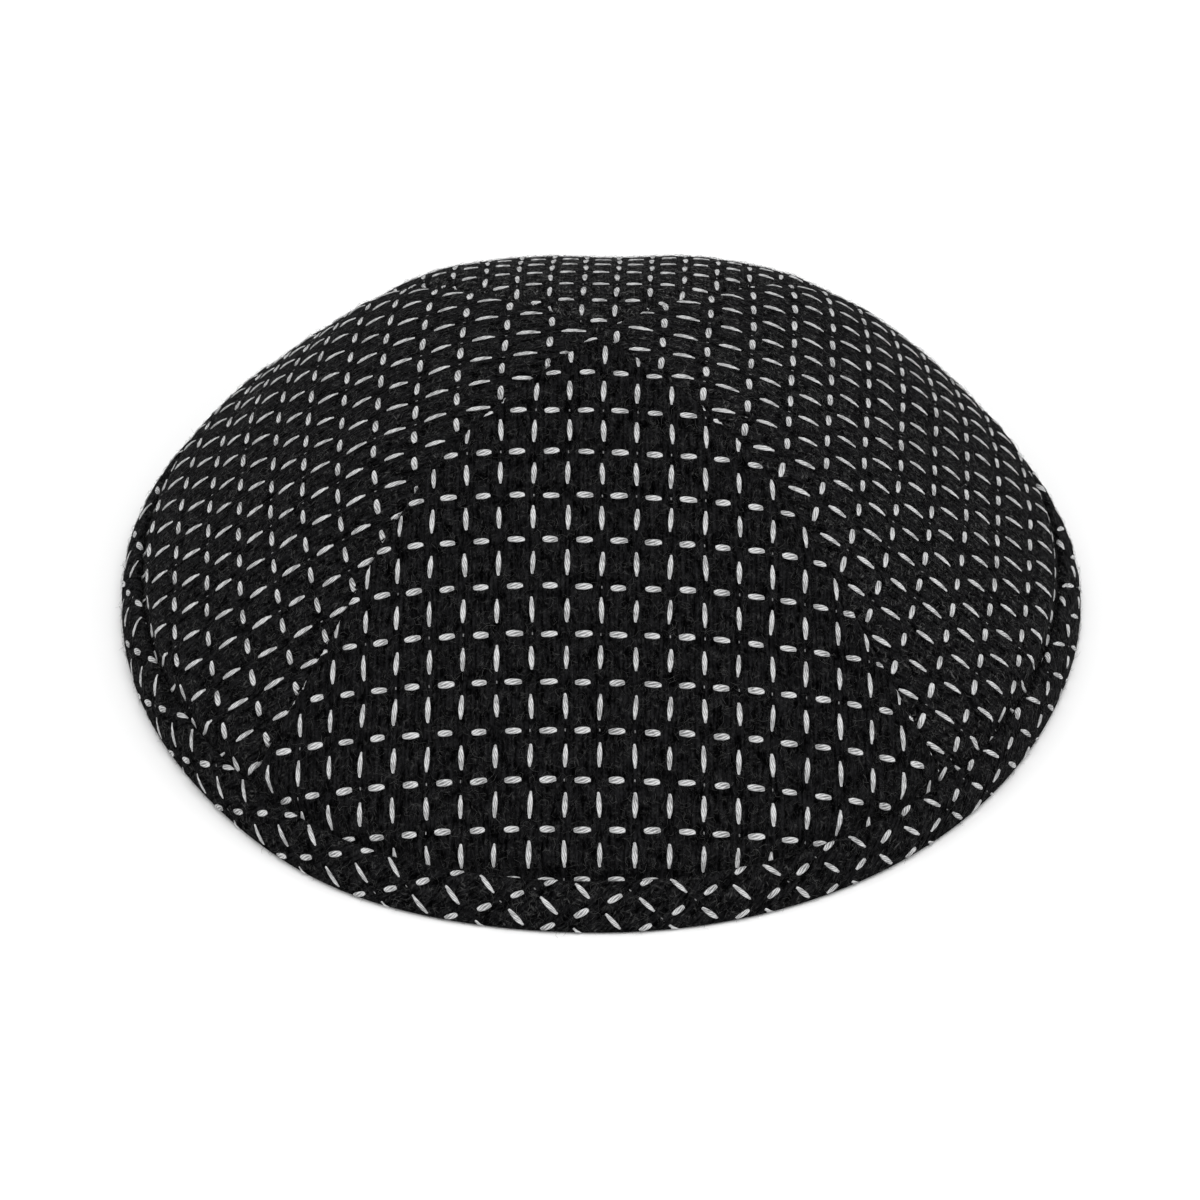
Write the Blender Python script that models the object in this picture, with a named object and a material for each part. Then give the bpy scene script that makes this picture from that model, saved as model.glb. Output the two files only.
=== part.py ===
"""Cloth skullcap of four crown panels, bound at the rim with a folded bias strip.

The cap rests on its rim at z = 0 with its front towards -Y. The crown is lofted through a short
table of sections, panels are the quarters of it between the four seams, and the binding is a
folded strip that holds their lower edges in a slot.
"""
import math

import bmesh
import bpy
import numpy as np

MM = 0.001

# Driving sizes of the cap, in metres
WIDTH = 176.0 * MM          # across the rim, ear to ear
FRONT_REACH = 92.5 * MM     # in plan, from the crossing of the seams to the front of the rim
BACK_REACH = 80.0 * MM      # in plan, from the crossing of the seams to the back of the rim
HEIGHT = 61.0 * MM          # from the rim's underside to the crown's top, before the seams draw it in
PANEL_WALL = 1.6 * MM       # wool cloth and its interlining
BINDING_WIDTH = 9.6 * MM    # outer leaf of the folded strip, up along the cloth
BINDING_INSIDE = 9.0 * MM   # inner leaf of the folded strip, up along the cloth
BINDING_LEAF = 1.1 * MM     # thickness of each leaf
BINDING_FOLD = 2.5 * MM     # cloth below the panels' edges, at the fold
CLEARANCE = 0.3 * MM        # between a panel and the binding's slot, all round
SEAM_GAP = 0.3 * MM         # between two panels at a seam
SEAM_DIP = 0.6 * MM         # how far the cloth is drawn in at a seam
SEAM_DIP_REACH = 4.0 * MM   # distance from the seam at which the cloth is level again
TUCK_REACH = 3.5 * MM       # length over which a panel tucks in above the binding
EDGE_ROUND = 0.4 * MM       # softened corners of the binding's leaves
FOLD_ROUND = 1.0 * MM       # rounding of the fold on either side of the rest face

# Sections of the crown from the crossing of the seams down to the rim. The height is a share of
# HEIGHT, the side reach of half the WIDTH, the front and back reach of theirs, and squareness is
# the power of the rounded square (2 is an ellipse).
SECTIONS = (
    # height, side, front, back, squareness
    (1.000, 0.000, 0.000, 0.000, 2.90),
    (0.975, 0.142, 0.118, 0.144, 3.00),
    (0.920, 0.283, 0.227, 0.268, 3.30),
    (0.830, 0.415, 0.345, 0.407, 3.30),
    (0.720, 0.530, 0.463, 0.540, 2.90),
    (0.600, 0.634, 0.572, 0.655, 2.50),
    (0.470, 0.735, 0.680, 0.755, 2.30),
    (0.340, 0.831, 0.785, 0.838, 2.25),
    (0.215, 0.921, 0.885, 0.912, 2.20),
    (0.110, 0.977, 0.956, 0.962, 2.12),
    (0.000, 1.000, 1.000, 1.000, 2.04),
)

# Where the soft crown stands out of its even form, or in from it
SWELLS = (
    # bearing, bearing reach, height, height reach, outwards in mm
    (41.0, 26.0, 0.50, 0.30, 2.9),
    (36.0, 20.0, 0.25, 0.25, -1.2),
    (29.0, 16.0, 0.00, 0.20, -1.6),
    (147.0, 24.0, 0.15, 0.28, -1.25),
    (239.0, 16.0, 0.00, 0.25, 1.6),
    (356.0, 14.0, 0.00, 0.20, 0.8),
)
SWELL_FADE = 0.15           # share of HEIGHT below the crossing of the seams, where swells fade out

# Panels by the side that they cover: name and the bearing of their middle, counted from +X
PANELS = (
    ("panel_right", 0.0),
    ("panel_back", 90.0),
    ("panel_left", 180.0),
    ("panel_front", 270.0),
)
HALF_PANEL = 180.0 / len(PANELS)    # degrees from a panel's middle to its seams

# Fineness of the lofts
PANEL_COLUMNS = 20          # steps across a panel, closer together towards the seams
PANEL_ROWS = 13             # steps down a panel, above the tuck
READINGS_PER_SECTION = 14   # steps in which the crown's curve is read between two sections
TURN_STEP = 0.01            # radians either side of a meridian, to read the crown's slope

APEX_Y = (FRONT_REACH - BACK_REACH) / 2     # keeps the origin under the middle of the cap
SLOT = PANEL_WALL + 2 * CLEARANCE
BINDING_THICKNESS = 2 * BINDING_LEAF + SLOT
TUCK_DEPTH = BINDING_LEAF + CLEARANCE
SLOT_MIDDLE = (BINDING_FOLD + BINDING_INSIDE) / 2

WOOL_COLOUR = (0.012, 0.012, 0.013, 1.0)
BINDING_COLOUR = (0.016, 0.016, 0.017, 1.0)


def crown_curve():
    """The table of sections as a smooth curve: rows from the crossing of the seams to the rim."""
    table = np.array(SECTIONS)
    over_the_top = table[1] * [1, -1, -1, -1, 1]
    below_the_rim = table[-1] * [0, 1, 1, 1, 1] - table[-2] * [1, 0, 0, 0, 0]
    points = np.vstack([over_the_top, table, below_the_rim])
    rows = [table[0]]
    for i in range(1, len(points) - 2):
        before, start, end, after = points[i - 1:i + 3]
        for t in np.arange(1, READINGS_PER_SECTION + 1) / READINGS_PER_SECTION:
            rows.append(0.5 * (2 * start + (end - before) * t
                               + (2 * before - 5 * start + 4 * end - after) * t ** 2
                               + (3 * start - before - 3 * end + after) * t ** 3))
    return np.array(rows)


CURVE = crown_curve()


def swell(turn, height):
    """How far the crown stands out of its even form on one meridian, at these shares of HEIGHT."""
    total = np.zeros(len(height))
    for bearing, bearing_reach, level, level_reach, outwards in SWELLS:
        apart = (math.degrees(turn) - bearing + 180) % 360 - 180
        total += outwards * MM * np.exp(-(apart / bearing_reach) ** 2 - ((height - level) / level_reach) ** 2)
    return total * np.minimum((1 - height) / SWELL_FADE, 1)


def meridian_points(turn):
    """Points of the crown's outside on one meridian, from the crossing of the seams to the rim."""
    height, side, front, back, squareness = CURVE.T
    c, s = math.cos(turn), math.sin(turn)
    size = (abs(c) ** squareness + abs(s) ** squareness) ** (1 / squareness)
    reach = front * FRONT_REACH if s < 0 else back * BACK_REACH
    out = swell(turn, height)
    x, y = side * (WIDTH / 2) * c / size + out * c, APEX_Y + reach * s / size + out * s
    return np.stack([x, y, height * HEIGHT], 1)


class Meridian:
    """One line down the crown, read by the rise above the rim along the cloth."""

    def __init__(self, turn):
        points = meridian_points(turn)
        along = np.gradient(points, axis=0)
        across = meridian_points(turn + TURN_STEP) - meridian_points(turn - TURN_STEP)
        normals = np.cross(along, across)
        normals[0] = (0, 0, 1)
        normals /= np.linalg.norm(normals, axis=1)[:, None]
        steps = np.linalg.norm(np.diff(points, axis=0), axis=1)
        rise = steps.sum() - np.concatenate([[0], np.cumsum(steps)])
        self.length = rise[0]
        self.rise, self.points, self.normals = rise[::-1], points[::-1], normals[::-1]
        self.spread = np.linalg.norm(across, axis=1)[::-1] / (2 * TURN_STEP)

    def read(self, values, rise):
        return np.array([np.interp(rise, self.rise, column) for column in values.T])

    def inward(self, rise):
        normal = self.read(self.normals, rise)
        return -normal / np.linalg.norm(normal)

    def point(self, rise, depth=0.0):
        """A point at this rise, set in from the crown's outside by the depth."""
        return self.read(self.points, rise) + depth * self.inward(rise)

    def metres_per_radian(self, rise):
        return np.interp(rise, self.rise, self.spread)


def smooth_step(x):
    x = min(max(x, 0.0), 1.0)
    return x * x * (3 - 2 * x)


def panel_rises(length):
    """How far above the rim a panel's rows lie, below its tip."""
    top_of_tuck = BINDING_WIDTH + TUCK_REACH
    rows = [length - (length - top_of_tuck) * i / PANEL_ROWS for i in range(1, PANEL_ROWS + 1)]
    middle_of_tuck = BINDING_WIDTH + CLEARANCE + 0.4 * TUCK_REACH
    return rows + [middle_of_tuck, BINDING_WIDTH + CLEARANCE, SLOT_MIDDLE, BINDING_FOLD + CLEARANCE]


def panel_depth(rise, from_seam):
    """How far the cloth's outside lies under the crown, at the seams and above the binding."""
    tuck = smooth_step((BINDING_WIDTH + TUCK_REACH - rise) / (TUCK_REACH - CLEARANCE))
    dip = smooth_step(1 - from_seam / SEAM_DIP_REACH)
    return max(tuck * TUCK_DEPTH, dip * SEAM_DIP)


def panel_skins(bearing):
    """Outer and inner grids of a panel's points, a row for each line across it."""
    middle = math.radians(bearing)
    seams = [Meridian(middle + math.copysign(math.radians(HALF_PANEL), side)) for side in (-1, 1)]
    row_count = len(panel_rises(seams[0].length))
    outer, inner = [], []
    for row in range(row_count):
        outer_row, inner_row = [], []
        for column in range(PANEL_COLUMNS + 1):
            across = math.sin(math.pi / 2 * (2 * column / PANEL_COLUMNS - 1))
            seam = seams[1] if across > 0 else seams[0]
            seam_rise = panel_rises(seam.length)[row]
            trim = SEAM_GAP / 2 / seam.metres_per_radian(seam_rise)
            line = Meridian(middle + across * (math.radians(HALF_PANEL) - trim))
            rise = panel_rises(line.length)[row]
            surface = line.point(rise)
            from_seam = np.linalg.norm(surface - seam.point(seam_rise))
            depth = panel_depth(rise, from_seam)
            on_seam = column in (0, PANEL_COLUMNS)
            inward = seam.inward(seam_rise) if on_seam else line.inward(rise)
            outer_row.append(surface + depth * inward)
            inner_row.append(surface + (depth + PANEL_WALL) * inward)
        outer.append(outer_row)
        inner.append(inner_row)
    return outer, inner


def new_part(name, mesh_builder, material, collection):
    builder = bmesh.new()
    mesh_builder(builder)
    bmesh.ops.recalc_face_normals(builder, faces=builder.faces)
    mesh = bpy.data.meshes.new(name)
    builder.to_mesh(mesh)
    builder.free()
    mesh.shade_smooth()
    mesh.set_sharp_from_angle(angle=math.radians(40))
    mesh.materials.append(material)
    part = bpy.data.objects.new(name, mesh)
    collection.objects.link(part)
    return part


def loft_rows(builder, rows, closed=False):
    """Faces between each row of corners and the next."""
    for upper, lower in zip(rows, rows[1:]):
        last = len(upper) if closed else len(upper) - 1
        for i in range(last):
            k = (i + 1) % len(upper)
            builder.faces.new((upper[i], upper[k], lower[k], lower[i]))


def build_panel(name, bearing, material, collection):
    outer, inner = panel_skins(bearing)
    out = np.array([math.cos(math.radians(bearing)), math.sin(math.radians(bearing)), 0])
    tip = np.array([0, APEX_Y, HEIGHT - SEAM_DIP]) + out * SEAM_GAP / 2 * math.sqrt(2)

    def make(builder):
        corners = [[[builder.verts.new(p) for p in row] for row in skin] for skin in (outer, inner)]
        tips = [builder.verts.new(tip), builder.verts.new(tip - [0, 0, PANEL_WALL])]
        for skin, tip_corner in zip(corners, tips):
            loft_rows(builder, skin)
            for a, b in zip(skin[0], skin[0][1:]):
                builder.faces.new((tip_corner, a, b))
        for side in (0, -1):
            edge = [[skin_tip] + [row[side] for row in skin] for skin, skin_tip in zip(corners, tips)]
            loft_rows(builder, edge)
        loft_rows(builder, [corners[0][-1], corners[1][-1]])

    return new_part(name, make, material, collection)


def binding_section():
    """Corners of the folded strip's section, as depth under the crown and rise above the rim."""
    inside = BINDING_THICKNESS
    slot_back = BINDING_LEAF + SLOT
    outer_face = np.linspace(FOLD_ROUND, BINDING_WIDTH - EDGE_ROUND, 4)
    inner_face = np.linspace(BINDING_INSIDE - EDGE_ROUND, BINDING_FOLD, 3)
    return (
        [(0.0, rise) for rise in outer_face]
        + [(EDGE_ROUND, BINDING_WIDTH), (BINDING_LEAF, BINDING_WIDTH)]
        + [(BINDING_LEAF, SLOT_MIDDLE), (BINDING_LEAF, BINDING_FOLD)]
        + [(slot_back, BINDING_FOLD), (slot_back, SLOT_MIDDLE), (slot_back, BINDING_INSIDE)]
        + [(inside - EDGE_ROUND, BINDING_INSIDE)]
        + [(inside, rise) for rise in inner_face]
        + [(inside - FOLD_ROUND, 0.0), (FOLD_ROUND, 0.0)]
    )


def build_binding(material, collection):
    section = binding_section()
    turns = []
    for _, bearing in PANELS:
        for column in range(PANEL_COLUMNS):
            across = math.sin(math.pi / 2 * (2 * column / PANEL_COLUMNS - 1))
            turns.append(math.radians(bearing + HALF_PANEL * across))

    def make(builder):
        rings = []
        for turn in turns:
            line = Meridian(turn)
            ring = [line.point(rise, depth) for depth, rise in section]
            for corner, (_, rise) in zip(ring, section):
                if rise == 0.0:
                    corner[2] = 0.0
            rings.append([builder.verts.new(corner) for corner in ring])
        loft_rows(builder, rings + rings[:1], closed=True)

    return new_part("rim_binding", make, material, collection)


def cloth_material(name, colour):
    material = bpy.data.materials.new(name)
    material.use_nodes = True
    shader = material.node_tree.nodes["Principled BSDF"]
    shader.inputs["Base Color"].default_value = colour
    shader.inputs["Roughness"].default_value = 0.95
    shader.inputs["Metallic"].default_value = 0.0
    material.diffuse_color = colour
    return material


def build_cap():
    for thing in list(bpy.data.objects):
        bpy.data.objects.remove(thing)
    collection = bpy.data.collections.new("kippah_skullcap")
    bpy.context.scene.collection.children.link(collection)
    for name, bearing in PANELS:
        build_panel(name, bearing, cloth_material(name + "_wool", WOOL_COLOUR), collection)
    build_binding(cloth_material("binding_wool", BINDING_COLOUR), collection)


build_cap()
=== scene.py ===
"""Looks of the four-panel wool skullcap: cloth, white pattern threads, loose fibres, floor, light."""
import math

import bmesh
import bpy
import numpy as np
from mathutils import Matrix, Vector


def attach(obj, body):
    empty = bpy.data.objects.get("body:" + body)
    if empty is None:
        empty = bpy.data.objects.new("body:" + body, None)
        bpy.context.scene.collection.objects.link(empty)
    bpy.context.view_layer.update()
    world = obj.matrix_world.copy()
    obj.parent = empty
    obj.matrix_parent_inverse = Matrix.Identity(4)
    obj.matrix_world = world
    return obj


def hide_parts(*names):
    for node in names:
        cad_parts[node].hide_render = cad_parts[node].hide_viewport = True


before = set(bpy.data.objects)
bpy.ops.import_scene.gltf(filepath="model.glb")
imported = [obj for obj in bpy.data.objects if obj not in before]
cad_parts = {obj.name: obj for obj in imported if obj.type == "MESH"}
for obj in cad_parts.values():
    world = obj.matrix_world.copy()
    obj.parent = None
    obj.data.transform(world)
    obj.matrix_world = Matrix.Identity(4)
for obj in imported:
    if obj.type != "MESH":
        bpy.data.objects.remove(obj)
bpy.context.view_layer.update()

MM = 0.001
UV_PER_METRE = 10.0         # the cloth's flat places are kept in tenths of a metre

# Sizes of the cap, as in the solid model
WIDTH = 176.0 * MM          # across the rim, ear to ear
FRONT_REACH = 92.5 * MM     # in plan, from the crossing of the seams to the front of the rim
BACK_REACH = 80.0 * MM      # in plan, from the crossing of the seams to the back of the rim
HEIGHT = 61.0 * MM
PANEL_WALL = 1.6 * MM
BINDING_WIDTH = 9.6 * MM
BINDING_INSIDE = 9.0 * MM
BINDING_LEAF = 1.1 * MM
BINDING_FOLD = 2.5 * MM
CLEARANCE = 0.3 * MM
SEAM_DIP_REACH = 4.0 * MM
TUCK_REACH = 3.5 * MM
APEX_Y = (FRONT_REACH - BACK_REACH) / 2
BINDING_THICKNESS = 2 * BINDING_LEAF + PANEL_WALL + 2 * CLEARANCE
TUCK_DEPTH = BINDING_LEAF + CLEARANCE
SLOT_MIDDLE = (BINDING_FOLD + BINDING_INSIDE) / 2

# Sections of the crown: shares of HEIGHT, of half the WIDTH and of the two reaches
SECTIONS = (
    # height, side, front, back, squareness
    (1.000, 0.000, 0.000, 0.000, 2.90),
    (0.975, 0.142, 0.118, 0.144, 3.00),
    (0.920, 0.283, 0.227, 0.268, 3.30),
    (0.830, 0.415, 0.345, 0.407, 3.30),
    (0.720, 0.530, 0.463, 0.540, 2.90),
    (0.600, 0.634, 0.572, 0.655, 2.50),
    (0.470, 0.735, 0.680, 0.755, 2.30),
    (0.340, 0.831, 0.785, 0.838, 2.25),
    (0.215, 0.921, 0.885, 0.912, 2.20),
    (0.110, 0.977, 0.956, 0.962, 2.12),
    (0.000, 1.000, 1.000, 1.000, 2.04),
)

# Where the soft crown stands out of its even form, or in from it
SWELLS = (
    # bearing, bearing reach, height, height reach, outwards in mm
    (41.0, 26.0, 0.50, 0.30, 2.9),
    (36.0, 20.0, 0.25, 0.25, -1.2),
    (29.0, 16.0, 0.00, 0.20, -1.6),
    (147.0, 24.0, 0.15, 0.28, -1.25),
    (239.0, 16.0, 0.00, 0.25, 1.6),
    (356.0, 14.0, 0.00, 0.20, 0.8),
)
SWELL_FADE = 0.15           # share of HEIGHT below the crossing of the seams, where swells fade out
READINGS_PER_SECTION = 14
TURN_STEP = 0.01            # radians either side of a meridian, to read the crown's slope
CHORD_PLACES = 13           # places across the crown at which its arc is measured
HALVINGS = 15               # in finding the surface below each of them
WAVE_COUNT = 7              # waves that make up a gentle unevenness
WAVE_SUM = 3.2              # about as high as they stand together

# How the visible cloth is finished at its edges
SEAM_DIP = 0.30 * MM        # how far the cloth is drawn in near a seam
SEAM_ROLL = 0.55 * MM       # radius at which the cloth rolls into a seam
SEAM_GAP = 0.06 * MM        # left open in the bottom of a seam
SEAM_ALLOWANCE = 3.6 * MM   # cloth that turns down beyond a seam and carries the threads' ends
SEAM_SINK = 0.6 * MM        # how deep it goes there
BINDING_ROLL = 0.9 * MM     # radius of the binding's sewn edge
BINDING_FOLD_ROLL = 1.1 * MM
BINDING_PUFF = 0.32 * MM    # how far the binding's face swells between seam and fold
THREAD_REST = 0.12 * MM     # the binding's cloth is held this far off the floor by its threads

# How far the cloth swells out between the check's rows and columns, and its unevenness as a height
# and a wave length
ROW_SWELL = 0.11 * MM
COLUMN_SWELL = 0.05 * MM
SLOW_WAVES = (0.22 * MM, 26 * MM)
SEAM_PUCKERS = (0.16 * MM, 7.5 * MM)
RIM_PUCKERS = (0.14 * MM, 8 * MM)
BINDING_PUCKERS = (0.11 * MM, 8 * MM)
PUCKER_REACH = 5 * MM       # from the seam or the rim
SEAM_HOLD = (0.4 * MM, 2.5 * MM)    # the cloth is held still this near a seam, and eases over this
RIM_HOLD = 4 * MM           # and over this above the binding

# The broken check of white threads: pitch across and down the cloth
COLUMN_PITCH = 6.033 * MM
ROW_PITCH = 8.397 * MM

# Where each panel was cut from the check. The nap and sheen is how much loose wool shows on the panel,
# together with painted sheen: more on the back and sides, seen at a slant, than on the front.
PANELS = (
    # name, bearing of the middle, column, row, turn, nap and painted sheen
    ("panel_right", 0.0, 4.654, -8.332, 1.870, 0.16),
    ("panel_back", 90.0, -0.516, -1.891, 1.322, 0.28),
    ("panel_left", 180.0, -5.914, -7.932, 3.442, 0.11),
    ("panel_front", 270.0, -0.190, -7.270, 0.580, 0.065),
)
HALF_PANEL = 180.0 / len(PANELS)
ROWS_TO_MIDDLE = 7          # from the crossing of the seams to the middle of a panel's check
PANEL_CHECKS = (25, 17)     # columns and rows laid on a panel, more than it shows

# How sewing and steaming ease each panel's cloth: shifts in mm of the places on it, as factors of
# 1, x, y, xx, xy and yy, where x and y are the place across and up it in steps of EASE_SPAN
EASE_SPAN = 50.0 * MM
EASES = {
    # panel: shifts across, shifts up
    "panel_right": ((0.28, 4.36, -0.77, 0.90, 1.20, 0.11), (0.68, 1.58, 1.16, 1.84, 0.37, -0.15)),
    "panel_back": ((0.0, 0.0, 0.0, 0.0, 0.0, 0.0), (4.80, 0.0, 7.20, 5.00, 0.0, 2.20)),
    "panel_left": ((-0.12, 2.23, -0.85, -0.23, 2.54, -0.41), (1.07, 0.36, 1.16, 0.97, -0.16, -0.23)),
    "panel_front": ((0.03, 0.20, -0.26, -0.14, 0.43, -0.11), (0.0, 1.39, 1.98, 2.13, 0.60, 1.13)),
}

BIAS_PERIOD = 17.05 * MM
BIAS_COLUMN = (5.85 * MM, 2.70 * MM)
BIAS_START = (2.9 * MM, 2.6 * MM)
BINDING_CHECKS = (241, 121)
BINDING_THREAD_SIZE = 0.92
# loose wool on the binding, with painted sheen that lightens it
BINDING_NAP_AND_SHEEN = 0.11

# The cloth's "shown" attribute: 1 where it shows, 0 where it is tucked away
THREADS_ONLY = 0.6          # marks cloth that gets white threads and no loose fibres
THREADS_ABOVE = 0.35        # threads lie on cloth shown more than this
FIBRES_ABOVE = 0.9          # and loose fibres on cloth shown more than this


# The crown's surface

def crown_curve():
    """The table of sections as a smooth curve: rows from the crossing of the seams to the rim."""
    table = np.array(SECTIONS)
    over_the_top = table[1] * [1, -1, -1, -1, 1]
    below_the_rim = table[-1] * [0, 1, 1, 1, 1] - table[-2] * [1, 0, 0, 0, 0]
    points = np.vstack([over_the_top, table, below_the_rim])
    rows = [table[0]]
    for i in range(1, len(points) - 2):
        before, start, end, after = points[i - 1:i + 3]
        for t in np.arange(1, READINGS_PER_SECTION + 1) / READINGS_PER_SECTION:
            rows.append(0.5 * (2 * start + (end - before) * t
                               + (2 * before - 5 * start + 4 * end - after) * t ** 2
                               + (3 * start - before - 3 * end + after) * t ** 3))
    return np.array(rows)


CURVE = crown_curve()


def swell(turn, height):
    """How far the crown stands out of its even form on one meridian, at these shares of HEIGHT."""
    total = np.zeros(len(height))
    for bearing, bearing_reach, level, level_reach, outwards in SWELLS:
        apart = (math.degrees(turn) - bearing + 180) % 360 - 180
        fall = (apart / bearing_reach) ** 2 + ((height - level) / level_reach) ** 2
        total += outwards * MM * np.exp(-fall)
    return total * np.minimum((1 - height) / SWELL_FADE, 1)


def meridian_points(turn):
    height, side, front, back, squareness = CURVE.T
    c, s = math.cos(turn), math.sin(turn)
    size = (abs(c) ** squareness + abs(s) ** squareness) ** (1 / squareness)
    reach = front * FRONT_REACH if s < 0 else back * BACK_REACH
    out = swell(turn, height)
    x, y = side * (WIDTH / 2) * c / size + out * c, APEX_Y + reach * s / size + out * s
    return np.stack([x, y, height * HEIGHT], 1)


def unit(vectors):
    """The same directions, each of length 1."""
    return vectors / np.maximum(np.linalg.norm(vectors, axis=-1, keepdims=True), 1e-12)


def lengths_along(points):
    """How far along a line each of its points lies."""
    return np.concatenate([[0], np.cumsum(np.linalg.norm(np.diff(points, axis=0), axis=1))])


def read_off(wanted, known, rows):
    """Rows at the wanted places, from those at the known places."""
    return np.stack([np.interp(wanted, known, column) for column in rows.T], 1)


class Meridian:
    """One line down the crown, read by the rise above the rim along the cloth."""

    def __init__(self, turn):
        points = meridian_points(turn)
        along = np.gradient(points, axis=0)
        across = meridian_points(turn + TURN_STEP) - meridian_points(turn - TURN_STEP)
        normals = np.cross(along, across)
        normals[0] = (0, 0, 1)
        fall = lengths_along(points)
        self.length = fall[-1]
        self.rise, self.points, self.normals = (fall[-1] - fall)[::-1], points[::-1], unit(normals)[::-1]

    def read(self, rises):
        """Points on the crown's outside and its outward directions, a row for each rise."""
        return read_off(rises, self.rise, self.points), unit(read_off(rises, self.rise, self.normals))


def outside_of_crown(points):
    """Above 0 where a point is outside the crown's surface, below 0 inside it."""
    heights, sides, fronts, backs, powers = CURVE[::-1].T
    x, y, z = points[..., 0], points[..., 1] - APEX_Y, points[..., 2] / HEIGHT
    side = np.maximum(np.interp(z, heights, sides) * WIDTH / 2, 1e-6)
    reach = np.where(y < 0, np.interp(z, heights, fronts) * FRONT_REACH,
                     np.interp(z, heights, backs) * BACK_REACH)
    power = np.interp(z, heights, powers)
    value = (abs(x) / side) ** power + (abs(y) / np.maximum(reach, 1e-6)) ** power - 1
    return np.where(z > 1, 1.0, value)


def cloth_places(points, bearing):
    """Where points of a panel lie on the flat cloth: across it, and up it from the apex, in metres.

    The way up is the arc of the panel's middle line, and the way across is the arc over the crown in
    the plane square to that line.
    """
    out, side = directions(bearing)
    middle = Meridian(math.radians(bearing))
    line = middle.points[::-1]
    reach = (line - [0, APEX_Y, 0]) @ out
    height = line[:, 2]
    arc = np.concatenate([[0], np.cumsum(np.hypot(np.diff(reach), np.diff(height)))])
    slope = unit(np.stack([np.gradient(reach, arc), np.gradient(height, arc)], 1))
    offset = points - [0, APEX_Y, 0]
    flat = np.stack([offset @ out, offset[:, 2]], 1)
    ahead = flat @ slope.T - (slope * np.stack([reach, height], 1)).sum(1)[None]
    crossing = np.maximum(np.argmax(ahead <= 0, axis=1), 1)
    crossing[(ahead > 0).all(1)] = len(arc) - 1
    rows = np.arange(len(points))
    before, after = ahead[rows, crossing - 1], ahead[rows, crossing]
    share = np.clip(before / np.where(before == after, 1, before - after), 0, 1)

    def at(values):
        return values[crossing - 1] + (values[crossing] - values[crossing - 1]) * share

    down = at(arc)
    base = np.stack([at(reach), at(height)], 1)
    inward = np.stack([at(slope[:, 1]), -at(slope[:, 0])], 1)
    across = offset @ side
    chords = np.linspace(0, 1, CHORD_PLACES)
    start = np.array([0, APEX_Y, 0]) + base[:, :1] * out + base[:, 1:] * [0, 0, 1]
    sunk = inward[:, :1] * out + inward[:, 1:] * [0, 0, 1]
    spots = start[:, None] + (across[:, None] * chords)[..., None] * side
    low = np.zeros(spots.shape[:2])
    high = abs(across)[:, None] * chords * 1.4 + 1 * MM
    for _ in range(HALVINGS):
        half = (low + high) / 2
        outside = outside_of_crown(spots + half[..., None] * sunk[:, None]) > 0
        low, high = np.where(outside, half, low), np.where(outside, high, half)
    over = spots + ((low + high) / 2)[..., None] * sunk[:, None]
    over[:, 0] = start
    lengths = np.linalg.norm(np.diff(over, axis=1), axis=2).sum(1)
    return np.stack([np.sign(across) * lengths, -down], 1)


def eased(places, name):
    """Places on a panel's cloth once it is eased."""
    x, y = places[..., 0] / EASE_SPAN, places[..., 1] / EASE_SPAN
    terms = np.stack([np.ones_like(x), x, y, x * x, x * y, y * y], -1)
    return places + terms @ np.array(EASES[name]).T * MM


def directions(bearing):
    """Outward and sideways directions of a panel, level with the floor."""
    turn = math.radians(bearing)
    return (np.array([math.cos(turn), math.sin(turn), 0.0]),
            np.array([-math.sin(turn), math.cos(turn), 0.0]))


def smooth_step(x):
    x = np.clip(x, 0.0, 1.0)
    return x * x * (3 - 2 * x)


def roll(distance, radius):
    """How far a quarter-round edge falls away at this distance from it."""
    left = np.clip(radius - distance, 0, radius)
    return radius - np.sqrt(radius ** 2 - left ** 2)


def waves(x, y, seed, length):
    """A gentle unevenness between about -1 and 1, the same on every run."""
    random = np.random.default_rng(seed)
    total = np.zeros(np.shape(x))
    for _ in range(WAVE_COUNT):
        turn, phase = random.uniform(0, 2 * math.pi, 2)
        stretch = 2 * math.pi / (length * random.uniform(0.6, 1.6))
        total += np.sin((x * math.cos(turn) + y * math.sin(turn)) * stretch + phase)
    return total / WAVE_SUM


# Panels

EDGE_STEPS = np.array([0, 0.10, 0.25, 0.45, 0.75, 1.2, 1.9]) * MM  # from a seam
ALLOWANCE_STEPS = np.array([0.3, 0.65, 1.0])    # shares of the seam allowance
MIDDLE_COLUMNS = 112
CROWN_ROWS = 122
TUCK_STEP = 0.35 * MM
TUCK_BELOW = 1.2 * MM       # close rows go on this far below the binding's edge
READING_LINES = 91
INNER_SKIP = 6              # the inside has one corner for so many of the outside
INNER_CLOTH = (0.3, 0.0)    # the inside shows another stretch of the same cloth, this far across


def panel_rises(length):
    """How far above the rim a panel's rows lie, below its tip."""
    top_of_tuck = BINDING_WIDTH + TUCK_REACH
    crown = length - (length - top_of_tuck) * np.arange(1, CROWN_ROWS + 1) / CROWN_ROWS
    tuck = np.arange(top_of_tuck - TUCK_STEP, BINDING_WIDTH - TUCK_BELOW, -TUCK_STEP)
    hidden = [SLOT_MIDDLE, BINDING_FOLD + CLEARANCE]
    return np.concatenate([crown, tuck, hidden])


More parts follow.
